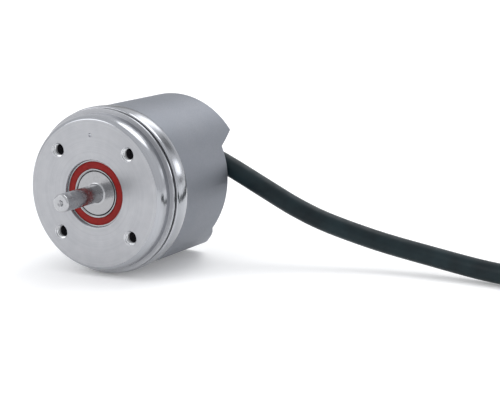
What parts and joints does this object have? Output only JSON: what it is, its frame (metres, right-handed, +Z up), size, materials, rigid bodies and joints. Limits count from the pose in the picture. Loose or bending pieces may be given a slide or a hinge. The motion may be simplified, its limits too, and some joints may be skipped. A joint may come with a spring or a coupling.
{
  "type": "rotary encoder",
  "caption": "Miniature rotary encoder with a thin plain shaft, round grooved flange with tapped holes, cylindrical metal cap and a side cable.",
  "frame": {"origin": "centre of the flange's front face, on the shaft axis", "axes": "+Y along the shaft axis from the front face into the body (the shaft points to -Y), +Z up as the encoder lies on its side, +X towards the cable outlet"},
  "size_m": [0.182, 0.0793, 0.0375],
  "materials": {
    "turned_aluminium": "turned face, polished rim",
    "blasted_aluminium": "bead blasted and clear anodised",
    "ground_steel": "ground",
    "bearing_steel": "ground and polished",
    "sheet_steel": "bright",
    "black_steel": "black oxide",
    "red_rubber": "smooth moulded",
    "black_rubber": "matte",
    "cage_polyamide": "moulded",
    "brass": "turned",
    "disc_nickel": "electroformed nickel",
    "black_plastic": "moulded",
    "ivory_plastic": "moulded",
    "clear_resin": "clear moulded",
    "glass": "polished",
    "board_green": "solder mask",
    "core_insulation": "eight colours",
    "cable_sheath": "smooth extruded",
    "tinned_copper": "tinned"
  },
  "bodies": {
    "stator": {"flange": "turned_aluminium", "front_bearing_outer": "bearing_steel", "front_bearing_seals": "red_rubber", "rear_bearing_outer": "bearing_steel", "rear_bearing_shields": "sheet_steel", "preload_spring": "sheet_steel", "led_holder": "black_plastic", "led": "clear_resin", "condenser_lens": "clear_resin", "reticle": "glass", "photo_array": "black_plastic", "sensor_board": "board_green", "sensor_board_parts": "black_plastic", "lower_spacers": "brass", "upper_spacers": "brass", "board_header": "black_plastic", "main_board": "board_green", "main_board_parts": "black_plastic", "board_screws": "sheet_steel", "wire_socket": "ivory_plastic", "wire_plug": "ivory_plastic", "core_wires": "core_insulation", "housing_cap": "blasted_aluminium", "cap_oring": "black_rubber", "grommet": "black_rubber", "cable_ferrule": "sheet_steel", "cable": "cable_sheath", "cable_coil": "cable_sheath", "cable_tie_1": "black_plastic", "cable_tie_2": "black_plastic", "cable_tail": "cable_sheath", "tail_sleeve": "black_rubber", "tail_leads": "core_insulation", "lead_ferrules": "tinned_copper"},
    "rotor": {"shaft": "ground_steel", "front_bearing_inner": "bearing_steel", "rear_bearing_inner": "bearing_steel", "shaft_clip": "sheet_steel", "disc_hub": "brass", "code_disc": "disc_nickel", "disc_clamp_ring": "brass", "hub_grub_screw": "black_steel"},
    "front_ball_set": {"front_bearing_balls": "bearing_steel", "front_bearing_cage": "cage_polyamide"},
    "rear_ball_set": {"rear_bearing_balls": "bearing_steel", "rear_bearing_cage": "cage_polyamide"}
  },
  "joints": [
    {"name": "shaft_spin", "type": "hinge", "parent": "stator", "child": "rotor", "pos_m": [0, 0, 0], "axis": [0, 1, 0], "continuous": true},
    {"name": "front_ball_set_spin", "type": "hinge", "parent": "stator", "child": "front_ball_set", "pos_m": [0, 0, 0], "axis": [0, 1, 0], "continuous": true},
    {"name": "rear_ball_set_spin", "type": "hinge", "parent": "stator", "child": "rear_ball_set", "pos_m": [0, 0, 0], "axis": [0, 1, 0], "continuous": true}
  ],
  "couplings": [
    {"joint": "front_ball_set_spin", "follows": "shaft_spin", "ratio": 0.452},
    {"joint": "rear_ball_set_spin", "follows": "shaft_spin", "ratio": 0.4012}
  ]
}
